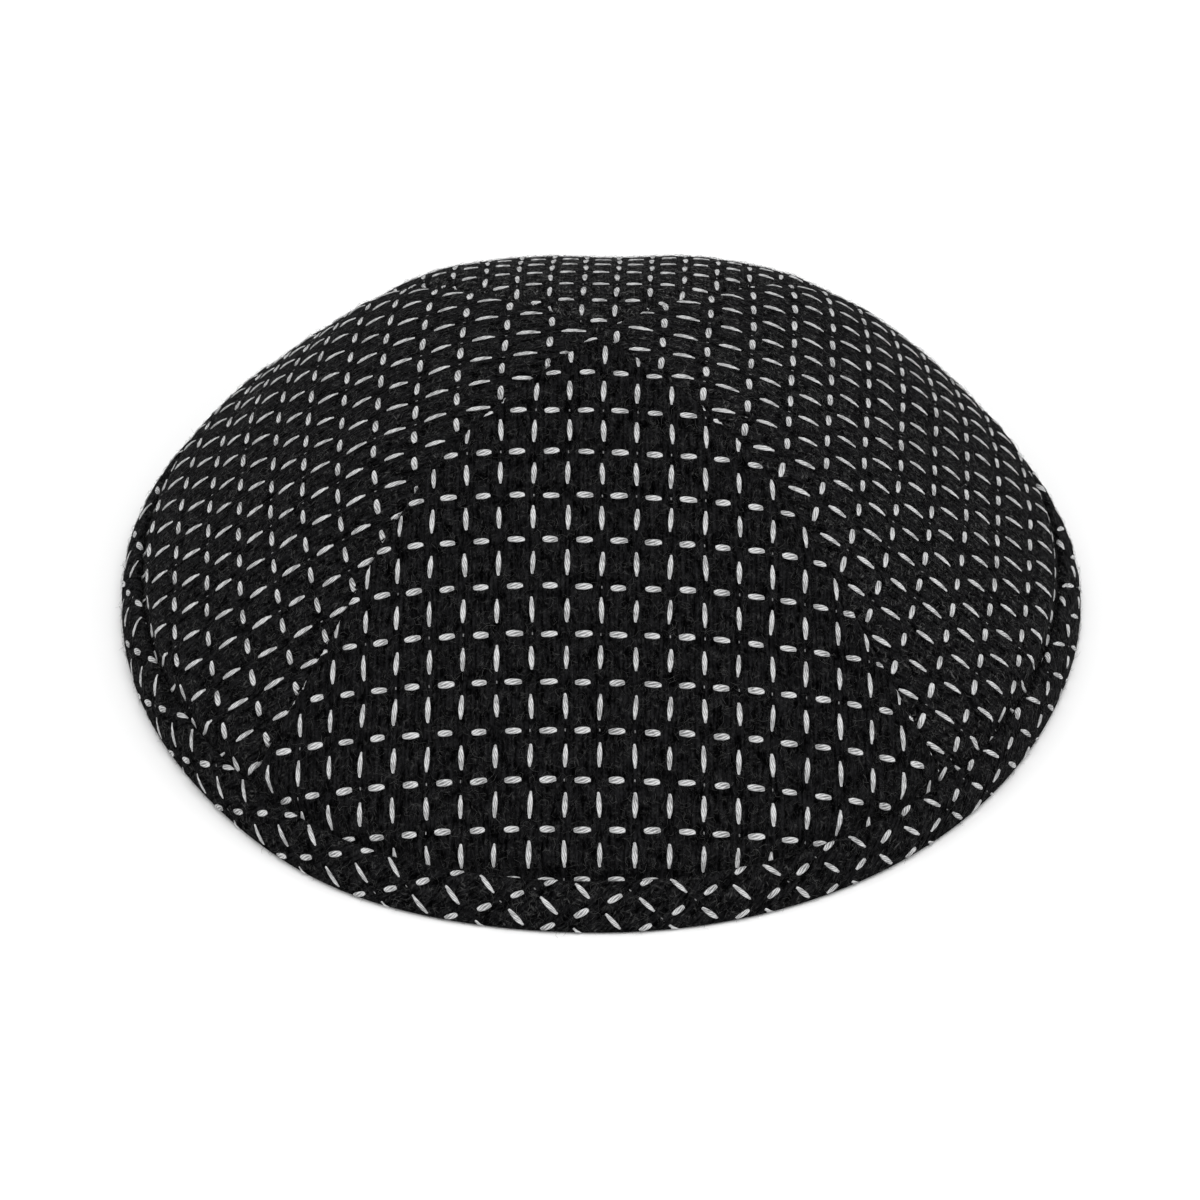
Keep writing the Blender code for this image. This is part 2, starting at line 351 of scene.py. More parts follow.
def panel_grid(name, bearing):
    """A panel's outside: points, outward directions, places on the cloth, depths and seam distances.

    Each is a grid with a row for each line across the panel, from the tip down.
    """
    middle, half = math.radians(bearing), math.radians(HALF_PANEL)
    lines = [Meridian(turn) for turn in np.linspace(middle - half, middle + half, READING_LINES)]
    rises = np.array([panel_rises(line.length) for line in lines])
    read = [line.read(rise) for line, rise in zip(lines, rises)]
    points = np.array([p for p, _ in read])
    normals = np.array([n for _, n in read])
    row_count = points.shape[1]
    places = cloth_places(points.reshape(-1, 3), bearing).reshape(READING_LINES, row_count, 2)
    places = eased(places, name)
    out = []
    for row in range(row_count):
        arc = lengths_along(points[:, row])
        width = arc[-1]
        edge = EDGE_STEPS * min(1.0, width / 4 / EDGE_STEPS[-1])
        inner = np.linspace(edge[-1], width - edge[-1], MIDDLE_COLUMNS + 1)[1:-1]
        along = np.concatenate([edge, inner, width - edge[::-1]])
        trimmed = np.clip(along, SEAM_GAP / 2, width - SEAM_GAP / 2)
        values = np.concatenate([points[:, row], normals[:, row], places[:, row],
                                 rises[:, row, None]], 1)
        from_seam = np.minimum(along, width - along)
        out.append(np.concatenate([read_off(trimmed, arc, values), from_seam[:, None]], 1))
    grid = np.array(out)
    surface, outward, place = grid[..., :3], grid[..., 3:6], grid[..., 6:8]
    rise, from_seam = grid[..., 8], grid[..., 9]
    tuck = smooth_step((BINDING_WIDTH + TUCK_REACH - rise) / (TUCK_REACH - CLEARANCE)) * TUCK_DEPTH
    dip = smooth_step(1 - from_seam / SEAM_DIP_REACH) * SEAM_DIP
    depth = np.maximum(tuck, dip) + roll(from_seam, SEAM_ROLL)
    return surface, unit(outward), place, depth, rise, from_seam


def between_threads(place, check):
    """How far places on the cloth lie from the check's columns and from its rows: 0 on a line to 1."""
    first, column_step, row_step = (vector[:2] for vector in check[:3])
    steps = (place - first) @ np.linalg.inv(np.stack([column_step, row_step]))
    return abs(np.sin(math.pi * steps[..., 0])), abs(np.sin(math.pi * steps[..., 1]))


def panel_relief(place, rise, from_seam, check, seed):
    """How far the cloth swells outwards: slow waves, puckers at its edges, and between threads."""
    x, y = place[..., 0], place[..., 1]
    above_rim = rise - BINDING_WIDTH
    off_column, off_row = between_threads(place, check)
    between = ROW_SWELL * off_row + COLUMN_SWELL * off_column
    slow = SLOW_WAVES[0] * waves(x, y, seed, SLOW_WAVES[1])
    at_seam = SEAM_PUCKERS[0] * np.exp(-from_seam / PUCKER_REACH) * waves(y, x, seed + 10, SEAM_PUCKERS[1])
    at_rim = RIM_PUCKERS[0] * np.exp(-above_rim / PUCKER_REACH) * waves(x, y, seed + 20, RIM_PUCKERS[1])
    off_seam = smooth_step((from_seam - SEAM_HOLD[0]) / SEAM_HOLD[1])
    return (slow + at_seam + at_rim + between) * off_seam * smooth_step(above_rim / RIM_HOLD)


def mark_nap_sheen_and_shade(mesh, places, check, nap_and_sheen):
    """Keeps on each corner how much loose wool and painted sheen shows there: less along the check's
    threads, as painted shade where the cloth dips between its swells.
    """
    off_column, off_row = between_threads(np.asarray(places), check)
    shown = mesh.attributes.new("nap_and_sheen", "FLOAT", "POINT")
    shown.data.foreach_set("value", nap_and_sheen * (0.3 + np.sqrt(off_column * off_row)))


def mesh_from(name, corners, faces, places=None):
    """A smooth mesh of these corners and faces, with a flat place for each corner."""
    mesh = bpy.data.meshes.new(name)
    mesh.from_pydata([tuple(c) for c in corners], [], faces)
    if places is not None:
        layer = mesh.uv_layers.new(name="cloth")
        index = np.zeros(len(mesh.loops), int)
        mesh.loops.foreach_get("vertex_index", index)
        layer.data.foreach_set("uv", (np.asarray(places)[index] * UV_PER_METRE).ravel())
    mesh.shade_smooth()
    return mesh


def turn_outwards(mesh):
    """Makes the faces of a closed mesh face outwards."""
    builder = bmesh.new()
    builder.from_mesh(mesh)
    bmesh.ops.recalc_face_normals(builder, faces=builder.faces)
    builder.to_mesh(mesh)
    builder.free()


def grid_faces(ids):
    """Four-sided faces of a grid of corner numbers."""
    a, b, c, d = ids[:-1, :-1], ids[:-1, 1:], ids[1:, 1:], ids[1:, :-1]
    return np.stack([a, b, c, d], -1).reshape(-1, 4).tolist()


def every(count, skip):
    """Every so many of a row of corners, and always its last."""
    picked = list(range(0, count - 1, skip))
    if count - 1 - picked[-1] < skip / 2:
        picked.pop()
    return np.array(picked + [count - 1])


def build_panel(name, bearing, check, nap_and_sheen, seed):
    """The cloth of one panel as a closed shell, and the open sheet that carries its threads."""
    surface, outward, place, depth, rise, from_seam = panel_grid(name, bearing)
    relief = panel_relief(place, rise, from_seam, check, seed)
    outer = surface + outward * (relief - depth)[..., None]
    rows, columns = depth.shape
    row_pick, column_pick = every(rows, INNER_SKIP), every(columns, INNER_SKIP)
    inner_depth = np.maximum(depth - roll(from_seam, SEAM_ROLL), 0) + PANEL_WALL
    inner = (surface - outward * inner_depth[..., None])[np.ix_(row_pick, column_pick)]
    out, _ = directions(bearing)
    tip = np.array([0, APEX_Y, HEIGHT - SEAM_DIP - SEAM_ROLL]) + out * SEAM_GAP
    corners = np.concatenate([outer.reshape(-1, 3), inner.reshape(-1, 3),
                              [tip, [tip[0], tip[1], HEIGHT - SEAM_DIP - PANEL_WALL]]])
    inner_place = place[np.ix_(row_pick, column_pick)] + INNER_CLOTH
    tip_place = place[0].mean(0)
    places = np.concatenate([place.reshape(-1, 2), inner_place.reshape(-1, 2),
                             [tip_place, tip_place + INNER_CLOTH]])
    outer_ids = np.arange(rows * columns).reshape(rows, columns)
    inner_ids = rows * columns + np.arange(inner.shape[0] * inner.shape[1]).reshape(inner.shape[:2])
    tip_out, tip_in = len(corners) - 2, len(corners) - 1
    faces = grid_faces(outer_ids) + grid_faces(inner_ids)
    faces += [[tip_out, a, b] for a, b in zip(outer_ids[0], outer_ids[0][1:])]
    faces += [[tip_in, a, b] for a, b in zip(inner_ids[0], inner_ids[0][1:])]
    for column in (0, -1):
        fine, coarse = outer_ids[:, column], inner_ids[:, column]
        for k, (a, b) in enumerate(zip(row_pick, row_pick[1:])):
            faces.append([*fine[a:b + 1], coarse[k + 1], coarse[k]])
        faces.append([tip_out, fine[0], coarse[0], tip_in])
    for k, (a, b) in enumerate(zip(column_pick, column_pick[1:])):
        faces.append([*outer_ids[-1, a:b + 1], inner_ids[-1, k + 1], inner_ids[-1, k]])
    faces = [[int(i) for i in face] for face in faces]
    shell = mesh_from(name + "_cloth", corners, faces, places)
    turn_outwards(shell)
    mark_nap_sheen_and_shade(shell, places, check, nap_and_sheen)
    carrier = build_carrier(name + "_carrier", outer, outward, place)
    return shell, carrier


def build_carrier(name, outer, outward, place):
    """The outer sheet continued round its edges, as the threads' ends turn down with the cloth."""
    def from_the_tip(grid):
        return np.concatenate([np.repeat(grid[:1].mean(1, keepdims=True), grid.shape[1], 1), grid])

    outer, outward, place = from_the_tip(outer), from_the_tip(outward), from_the_tip(place)
    edges = []
    for column, sign in ((0, -1), (-1, 1)):
        run = unit(np.gradient(place[:, column], axis=0))
        away = np.stack([-run[:, 1], run[:, 0]], 1) * sign
        away *= np.sign((away[:, 0] * sign).sum())
        steps = ALLOWANCE_STEPS[::sign]
        up = outward[:, column]
        edges.append((np.stack([outer[:, column] - up * (step * SEAM_SINK) for step in steps], 1),
                      np.stack([place[:, column] + away * step * SEAM_ALLOWANCE for step in steps], 1),
                      np.repeat(outward[:, [column]], len(steps), 1)))
    points, flat, normals = (np.concatenate(sheets, 1)
                             for sheets in zip(edges[0], (outer, place, outward), edges[1]))
    hidden = len(ALLOWANCE_STEPS) - 1
    shown = np.ones(points.shape[:2])
    shown[:, :hidden] = shown[:, -hidden:] = 0
    shown[-2:] = 0
    return carrier_mesh(name, points, normals, flat, shown)


def carrier_mesh(name, points, normals, flat, shown):
    """An open sheet that faces outwards, with its outward directions and what is shown of it."""
    ids = np.arange(points.shape[0] * points.shape[1]).reshape(points.shape[:2])
    faces = grid_faces(ids)
    i, j = points.shape[0] // 2, points.shape[1] // 2
    facing = np.cross(points[i, j + 1] - points[i, j], points[i + 1, j] - points[i, j]) @ normals[i, j]
    if facing < 0:
        faces = [face[::-1] for face in faces]
    mesh = mesh_from(name, points.reshape(-1, 3), faces, flat.reshape(-1, 2))
    outward = mesh.attributes.new("outward", "FLOAT_VECTOR", "POINT")
    outward.data.foreach_set("vector", normals.reshape(-1))
    seen = mesh.attributes.new("shown", "FLOAT", "POINT")
    seen.data.foreach_set("value", shown.reshape(-1))
    return mesh


# Binding

BINDING_COLUMNS = 560
FACE_ROWS = 13              # on the outside, between the sewn edge and the fold
LEAF_ROWS = 8               # on the inner leaf
EDGE_TURNS = (90, 65, 42, 20)       # degrees round the sewn edge
FOLD_TURNS = (22, 45, 68, 90)       # and round each half of the fold
SLOT_PLACE = -30 * MM       # up the flat strip, of what lies in the slot
PUCKER_SEED = 51
FOLD_HOLD = (1.5 * MM, 2 * MM)      # no puckers this near the floor, and they rise over this
FACE_DEPTH = 0.2 * MM       # they lie on cloth no deeper in than this


def binding_section():
    """The folded strip's section as depth, rise and way up the flat strip, from the slot round.

    The first rows lie in the slot and carry only the ends of threads.
    """
    rows = []
    shoulder = BINDING_WIDTH - BINDING_ROLL
    for rise, up in ((SLOT_MIDDLE, 14.2 * MM), (shoulder, 11.2 * MM)):
        rows.append((BINDING_ROLL + 0.2 * MM, rise, up))
    for turn in np.radians(EDGE_TURNS):
        rows.append((BINDING_ROLL * (1 - math.cos(turn)), shoulder + BINDING_ROLL * math.sin(turn),
                     shoulder + BINDING_ROLL * turn))
    for rise in np.linspace(shoulder, BINDING_FOLD_ROLL, FACE_ROWS):
        share = (rise - BINDING_FOLD_ROLL) / (shoulder - BINDING_FOLD_ROLL)
        rows.append((-BINDING_PUFF * math.sin(math.pi * share) ** 0.8, rise, rise))
    r = BINDING_FOLD_ROLL
    for turn in np.radians(FOLD_TURNS):
        rows.append((r * (1 - math.cos(turn)), r * (1 - math.sin(turn)), r * (1 - turn)))
    bottom = r * (1 - math.pi / 2)
    flat = BINDING_THICKNESS - 2 * r
    for turn in np.radians(FOLD_TURNS[::-1]):
        rows.append((BINDING_THICKNESS - r * (1 - math.cos(turn)), r * (1 - math.sin(turn)),
                     bottom - flat - r * (math.pi / 2 - turn)))
    inner_start = bottom - flat - r * math.pi / 2
    for rise in np.linspace(r, BINDING_INSIDE - 0.4 * MM, LEAF_ROWS):
        rows.append((BINDING_THICKNESS, rise, inner_start - (rise - r)))
    return rows


def build_binding():
    """The folded strip as a closed ring, and the open sheet that carries its threads."""
    section = np.array(binding_section())
    inner_leaf = BINDING_THICKNESS - BINDING_LEAF
    slot = [(BINDING_THICKNESS - 0.4 * MM, BINDING_INSIDE), (inner_leaf, BINDING_INSIDE),
            (inner_leaf, BINDING_FOLD), (BINDING_LEAF, BINDING_FOLD)]
    ends = np.array([(depth, rise, SLOT_PLACE) for depth, rise in slot])
    ring = np.concatenate([section, ends])
    turns = -math.pi / 2 + np.linspace(-math.pi, math.pi, BINDING_COLUMNS + 1)
    rim = np.array([meridian_points(turn)[-1] for turn in turns])
    along = lengths_along(rim)
    even = np.linspace(0, along[-1], BINDING_COLUMNS + 1)
    turns = np.interp(even, along, turns)
    along = even - even[-1] / 2
    height, length = BINDING_PUCKERS
    points, normals = [], []
    for turn, place in zip(turns, along):
        line = Meridian(turn)
        base, outward = line.read(np.maximum(ring[:, 1], 0))
        bare = smooth_step((ring[:, 1] - FOLD_HOLD[0]) / FOLD_HOLD[1]) * (ring[:, 0] < FACE_DEPTH)
        puckers = height * waves(place + ring[:, 2] * 0.8, ring[:, 2] * 0.6, PUCKER_SEED, length) * bare
        spots = base + outward * (puckers - ring[:, 0])[:, None]
        spots[:, 2] = np.maximum(spots[:, 2], THREAD_REST)
        points.append(spots)
        normals.append(outward)
    points, normals = np.array(points), np.array(normals)
    flat = np.stack(np.broadcast_arrays(along[:, None], ring[None, :, 2]), -1)
    count, rows = BINDING_COLUMNS, len(ring)
    ids = np.arange(count * rows).reshape(count, rows)
    ids = np.concatenate([ids, ids[:1]])
    ids = np.concatenate([ids, ids[:, :1]], 1)
    shell = mesh_from("rim_binding_cloth", points[:-1].reshape(-1, 3), grid_faces(ids))
    layer = shell.uv_layers.new(name="cloth")
    flat_ids = np.arange((count + 1) * (rows + 1)).reshape(count + 1, rows + 1)
    wrapped = np.concatenate([flat, flat[:, :1]], 1).reshape(-1, 2)
    loops = np.array(grid_faces(flat_ids)).ravel()
    layer.data.foreach_set("uv", (wrapped[loops] * UV_PER_METRE).ravel())
    turn_outwards(shell)
    check = binding_check(along[-1] * 2)
    mark_nap_sheen_and_shade(shell, flat[:-1].reshape(-1, 2), check, BINDING_NAP_AND_SHEEN)
    outward = section_normals(points[:, :len(section)], normals[:, :len(section)])
    shown = np.ones((count + 1, len(section)))
    shown[:, section[:, 0] > BINDING_THICKNESS - BINDING_FOLD_ROLL] = THREADS_ONLY
    shown[:, :3] = 0
    shown[:, -2:] = 0
    carrier = carrier_mesh("binding_carrier", points[:, :len(section)], outward, flat[:, :len(section)],
                           shown)
    return shell, carrier, check


def section_normals(points, outward):
    """Outward directions of a grid of points, from its own two slopes."""
    normals = unit(np.cross(np.gradient(points, axis=0), -np.gradient(points, axis=1)))
    middle = len(points[0]) // 3
    flip = np.sign((normals[:, middle] * outward[:, middle]).sum())
    return normals * flip


# Threads and fibres

STRAY_RADIUS = 0.013 * MM   # of the hairs on the white threads
FIBRE_RADIUS = 0.022 * MM   # of the hairs on the cloth
HAIR_PLACE = (0.0, -100.0)  # the place on a yarn that marks a hair, far from any on a strand
THREAD_STRAY = 0.12 * MM    # a thread lies this far off its place at most, each way
THREAD_TURN = 0.07          # and this far off its direction, in radians
THREAD_SIZES = ((0.9, 1.08), (0.9, 1.08), (0.85, 1.15))     # across, along and off the cloth
SPECKED_CROSSINGS = 0.45    # share of the crossings where a speck shows
# the specks are painted dark, as shade where they sink under the crosswise yarn
SPECK_SHADE_TONES = (-4.0, -2.0)
SHORT_THREAD_LEAN = 3.0     # degrees
FIBRES_PER_SQUARE_MM = 0.34     # of each of the two kinds
FIBRE_SIZES = (0.45, 1.3)
FIBRE_TILTS = (
    # from, to, seed
    (-0.3, 0.3, 5),
    (-0.25, 0.15, 15),
    (0.0, 2 * math.pi, 25),
)
HAIR_LINE = 0.015           # width of the hairs drawn on the cloth, as a share of the pattern's range

# Stray hairs on one stretch of each yarn, as three places in mm
LONG_THREAD_HAIRS = (
    ((0.25, -0.6, 0.2), (0.65, 0.0, 0.35), (0.80, 0.8, 0.2)),
    ((-0.2, 1.2, 0.2), (-0.7, 1.6, 0.35), (-0.85, 2.4, 0.25)),
)
SHORT_THREAD_HAIRS = (
    ((-0.5, -0.9, 0.2), (-1.0, -0.6, 0.4), (-1.25, 0.1, 0.3)),
    ((0.2, 0.9, 0.2), (0.1, 1.7, 0.45), (-0.5, 2.3, 0.35)),
)


def ring_faces(rings, sides):
    """Faces between rings of corners, with a cap at each end."""
    faces = []
    for k in range(rings - 1):
        for i in range(sides):
            j = (i + 1) % sides
            faces.append((k * sides + i, k * sides + j, (k + 1) * sides + j, (k + 1) * sides + i))
    faces.append(tuple(range(sides)))
    faces.append(tuple((rings - 1) * sides + i for i in range(sides)))
    return faces


def strand(path, widths, heights, sides=6):
    """A closed tube along a path that runs in y.

    Each corner of a face has its place on the strand: turns round it, and mm along it.
    """
    angles = 2 * math.pi * np.arange(sides) / sides
    corners = [(x + width / 2 * math.cos(angle), y, z + height / 2 * math.sin(angle))
               for (x, y, z), width, height in zip(path, widths, heights) for angle in angles]
    along = [centre[1] / MM for centre in path]
    places = []
    for low, high in zip(along, along[1:]):
        for i in range(sides):
            start, end = i / sides, (i + 1) / sides
            places.append([(start, low), (end, low), (end, high), (start, high)])
    for end in (along[0], along[-1]):
        places.append([(i / sides, end) for i in range(sides)])
    return corners, ring_faces(len(path), sides), places


def hair(path, radius):
    """A thin closed tube along a path in any direction, finer towards its end."""
    along = np.gradient(path, axis=0)
    aside = unit(np.cross(along, (0.0, 0.0, 1.0)))
    above = unit(np.cross(aside, along))
    corners = []
    for k, centre in enumerate(path):
        size = radius * (1 - 0.5 * k / (len(path) - 1))
        for angle in np.radians((90, 210, 330)):
            corners.append(tuple(centre + size * (aside[k] * math.cos(angle) + above[k] * math.sin(angle))))
    faces = ring_faces(len(path), 3)
    return corners, faces, [[HAIR_PLACE] * len(face) for face in faces]


def template(name, parts):
    """An object, shown only while threads are laid, of several closed tubes."""
    corners, faces, places = [], [], []
    for part_corners, part_faces, part_places in parts:
        start = len(corners)
        corners += part_corners
        faces += [tuple(start + i for i in face) for face in part_faces]
        places += part_places
    mesh = bpy.data.meshes.new(name)
    mesh.from_pydata(corners, [], faces)
    layer = mesh.uv_layers.new(name="yarn")
    layer.data.foreach_set("uv", np.array([place for face in places for place in face]).ravel())
    mesh.shade_smooth()
    turn_outwards(mesh)
    thing = bpy.data.objects.new(name, mesh)
    bpy.context.scene.collection.objects.link(thing)
    return thing


def wound_yarn(length, strand_size, spread, heights, fullness, end_widths, twist, rings, hairs):
    """Two strands wound round each other along y, side by side at mid-length, their ends sunk.

    Sizes are in mm. The yarn rises from the first of the heights to the second and falls again, the
    more abruptly the fuller it is. The rings are shares of half the length, either side of the middle.
    """
    sizes = (length, strand_size, spread, heights)
    length, strand_size, spread, heights = (np.array(size) * MM for size in sizes)
    rings = np.array(rings)
    shares = np.concatenate([-rings[::-1], [0], rings])
    taper = 1 - (1 - np.where(shares < 0, *end_widths)) * abs(shares) ** 4
    lift = heights[0] + (heights[1] - heights[0]) * (1 - abs(shares) ** fullness)
    parts = []
    for side in (0, math.pi):
        turns = side + math.radians(twist) / 2 * shares
        path = np.stack([spread[0] * taper * np.cos(turns), shares * length / 2,
                         lift + spread[1] * taper * np.sin(turns)], 1)
        parts.append(strand(path, strand_size[0] * taper, strand_size[1] * taper))
    return parts + [hair(np.array(path) * MM, STRAY_RADIUS) for path in hairs]


def long_thread():
    """One stretch of the lengthwise yarn."""
    return template("long_thread", wound_yarn(
        5.1, (0.56, 0.22), (0.21, 0.05), (-0.30, 0.13), 4.0, (0.50, 0.90), 230, (0.42, 0.78, 1.0),
        LONG_THREAD_HAIRS))


def short_thread():
    """One stretch of the crosswise yarn, plumper and laid across."""
    parts = wound_yarn(2.85, (0.62, 0.27), (0.30, 0.06), (-0.14, 0.08), 14.0, (1.0, 1.0), 160,
                       (0.50, 0.90, 1.0), SHORT_THREAD_HAIRS)
    lean = math.radians(SHORT_THREAD_LEAN)
    laid = []
    for corners, faces, places in parts:
        turned = [(y * math.cos(lean) + x * math.sin(lean), y * math.sin(lean) - x * math.cos(lean), z)
                  for x, y, z in corners]
        laid.append((turned, faces, places))
    return template("short_thread", laid)


def crossing_dot():
    """A speck of the lengthwise yarn where it passes under the crosswise yarn."""
    shares = np.linspace(-1, 1, 4)
    path = np.stack([0 * shares, shares * 0.60 * MM, (-0.03 - 0.24 * shares ** 2) * MM], 1)
    taper = 0.4 + 0.6 * (1 - shares ** 2)
    return template("crossing_dot", [strand(path, 0.34 * MM * taper, 0.22 * MM * taper, 5)])


def fibre(name, length, rise, bend):
    """One loose wool hair, thin and bent."""
    shares = np.linspace(0, 1, 3)
    path = np.stack([length * shares, bend * np.sin(math.pi * shares),
                     rise * np.sin(math.pi * shares * 0.8)], 1)
    return template(name, [hair(path, FIBRE_RADIUS)])


class Reading:
    """A node's output, on which sums and products carry on as Math nodes."""

    def __init__(self, tree, socket):
        self.tree, self.socket = tree, socket

    def __add__(self, other):
        return maths(self.tree, "ADD", self, other)

    def __sub__(self, other):
        return maths(self.tree, "SUBTRACT", self, other)

    def __mul__(self, other):
        return maths(self.tree, "MULTIPLY", self, other)

    def __truediv__(self, other):
        return maths(self.tree, "DIVIDE", self, other)


def feed(tree, socket, value):
    """Links a reading or an output to a socket, or sets the socket to a plain value."""
    value = value.socket if isinstance(value, Reading) else value
    if isinstance(value, bpy.types.NodeSocket):
        tree.links.new(value, socket)
    else:
        socket.default_value = value


def add(tree, kind, inputs=(), **settings):
    """A node with these settings. Inputs are pairs of a socket's name or number and what feeds it."""
    node = tree.nodes.new(kind)
    for key, value in settings.items():
        setattr(node, key, value)
    for key, value in inputs:
        feed(tree, node.inputs[key], value)
    return node


def maths(tree, operation, *values):
    node = add(tree, "ShaderNodeMath", enumerate(values), operation=operation)
    return Reading(tree, node.outputs[0])


def vector_math(tree, operation, first, second):
    second_socket = "Scale" if operation == "SCALE" else 1
    node = add(tree, "ShaderNodeVectorMath", [(0, first), (second_socket, second)], operation=operation)
    return node.outputs["Vector"]


def split(tree, vector):
    return [Reading(tree, part) for part in add(tree, "ShaderNodeSeparateXYZ", [(0, vector)]).outputs]


def combine(tree, *parts):
    return add(tree, "ShaderNodeCombineXYZ", enumerate(parts)).outputs[0]


def new_tree(name, kind, inputs, outputs):
    """An empty node tree with its input and output sockets, which are named by their kinds."""
    tree = bpy.data.node_groups.new(name, kind)
    for way, sockets in (("INPUT", inputs), ("OUTPUT", outputs)):
        for socket, labels in sockets.items():
            for label in labels:
                tree.interface.new_socket(label, in_out=way, socket_type="NodeSocket" + socket)
    return tree, tree.nodes.new("NodeGroupInput").outputs, tree.nodes.new("NodeGroupOutput").inputs


def random_value(tree, low, high, seed):
    node = add(tree, "FunctionNodeRandomValue", [(2, low), (3, high), ("Seed", seed)], data_type="FLOAT")
    return Reading(tree, node.outputs[1])


def random_vector(tree, ranges, seed):
    return combine(tree, *[random_value(tree, *ends, seed + k) for k, ends in enumerate(ranges)])


def position(tree):
    return add(tree, "GeometryNodeInputPosition").outputs[0]


def named(tree, name, kind="FLOAT"):
    return add(tree, "GeometryNodeInputNamedAttribute", [("Name", name)], data_type=kind).outputs[0]


def sample_cloth(tree, carrier, value, kind, place):
    """What the carrier holds at a flat place, and whether the place is on it."""
    node = add(tree, "GeometryNodeSampleUVSurface",
               [("Mesh", carrier), ("Value", value),
                ("Source UV Map", named(tree, "cloth", "FLOAT_VECTOR")),
                ("Sample UV", vector_math(tree, "SCALE", place, UV_PER_METRE))], data_type=kind)
    return node.outputs["Value"], node.outputs["Is Valid"]


def laid_on(tree, points, thing, **more):
    """Copies of an object on points."""
    source = add(tree, "GeometryNodeObjectInfo", [("Object", thing)], transform_space="ORIGINAL")
    inputs = [("Points", points), ("Instance", source.outputs["Geometry"]), *more.items()]
    return add(tree, "GeometryNodeInstanceOnPoints", inputs).outputs[0]


def made_real(tree, geometry):
    return add(tree, "GeometryNodeRealizeInstances", [("Geometry", geometry)]).outputs[0]


def finish_tree(tree, out, branches, material):
    """Joins the branches, keeps them above the floor and gives them their material."""
    joined = add(tree, "GeometryNodeJoinGeometry")
    for branch in branches:
        tree.links.new(branch, joined.inputs[0])
    above = add(tree, "GeometryNodeSetPosition",
                [("Geometry", made_real(tree, joined.outputs[0])),
                 ("Position", vector_math(tree, "MAXIMUM", position(tree), (-1.0, -1.0, 0.0)))])
    done = add(tree, "GeometryNodeSetMaterial", [("Geometry", above.outputs[0]), ("Material", material)])
    tree.links.new(done.outputs[0], out[0])
    return tree


def thread_branch(tree, given, yarn, shift, turn, seed, keep=1.0, tones=(0.0, 1.0)):
    """Points on the check, a thread on each, bent onto the cloth."""
    cloth = given["Geometry"]
    grid = add(tree, "GeometryNodeMeshGrid")
    for label, size in (("Columns", "X"), ("Rows", "Y")):
        feed(tree, grid.inputs["Vertices " + size], given[label])
        feed(tree, grid.inputs["Size " + size], Reading(tree, given[label]) - 1.0)
    steps = split(tree, position(tree))
    column = vector_math(tree, "SCALE", given["Column step"], steps[0] + shift[0])
    row = vector_math(tree, "SCALE", given["Row step"], steps[1] + shift[1])
    place = vector_math(tree, "ADD", vector_math(tree, "ADD", column, row), given["First crossing"])
    place = vector_math(tree, "ADD", place, random_vector(tree, [(-THREAD_STRAY, THREAD_STRAY)] * 2, seed))
    points = add(tree, "GeometryNodeSetPosition", [("Geometry", grid.outputs["Mesh"]), ("Position", place)])
    shown, on_cloth = sample_cloth(tree, cloth, named(tree, "shown"), "FLOAT", position(tree))
    chance = maths(tree, "LESS_THAN", random_value(tree, 0.0, 1.0, seed + 2), keep)
    wanted = maths(tree, "GREATER_THAN", shown, THREADS_ABOVE) * chance * on_cloth
    # the tone differs at random on the threads, and is painted shade on the sunk specks
    tone = add(tree, "GeometryNodeStoreNamedAttribute",
               [("Geometry", points.outputs[0]), ("Name", "tone"),
                ("Value", random_value(tree, *tones, seed + 3))], data_type="FLOAT", domain="POINT")
    spin = Reading(tree, given[turn]) + random_value(tree, -THREAD_TURN, THREAD_TURN, seed + 4)
    spin = spin + maths(tree, "GREATER_THAN", random_value(tree, 0.0, 1.0, seed + 8), 0.5) * math.pi
    rotation = add(tree, "FunctionNodeEulerToRotation", [(0, combine(tree, 0.0, 0.0, spin))])
    size = vector_math(tree, "SCALE", random_vector(tree, THREAD_SIZES, seed + 5), given["Thread size"])
    real = made_real(tree, laid_on(tree, tone.outputs[0], given[yarn], Selection=wanted,
                                   Rotation=rotation.outputs[0], Scale=size))
    flat = position(tree)
    surface, inside = sample_cloth(tree, cloth, position(tree), "FLOAT_VECTOR", flat)
    outward, _ = sample_cloth(tree, cloth, named(tree, "outward", "FLOAT_VECTOR"), "FLOAT_VECTOR", flat)
    bent = vector_math(tree, "ADD", surface, vector_math(tree, "SCALE", outward, split(tree, flat)[2]))
    kept = add(tree, "GeometryNodeSeparateGeometry", [("Geometry", real), ("Selection", inside)],
               domain="POINT")
    return add(tree, "GeometryNodeSetPosition",
               [("Geometry", kept.outputs["Selection"]), ("Position", bent)]).outputs[0]


def thread_tree(material):
    """The white check: long and short threads between its crossings, and specks on some crossings."""
    tree, given, out = new_tree(
        "white check threads", "GeometryNodeTree",
        {"Geometry": ["Geometry"], "Object": ["Long thread", "Short thread", "Crossing dot"],
         "Int": ["Columns", "Rows"], "Vector": ["First crossing", "Column step", "Row step"],
         "Float": ["Long turn", "Short turn", "Thread size"]}, {"Geometry": ["Geometry"]})
    branches = [thread_branch(tree, given, "Long thread", (0.0, 0.5), "Long turn", 1),
                thread_branch(tree, given, "Short thread", (0.5, 0.0), "Short turn", 21),
                thread_branch(tree, given, "Crossing dot", (0.0, 0.0), "Long turn", 41,
                              keep=SPECKED_CROSSINGS, tones=SPECK_SHADE_TONES)]
    return finish_tree(tree, out, branches, material)


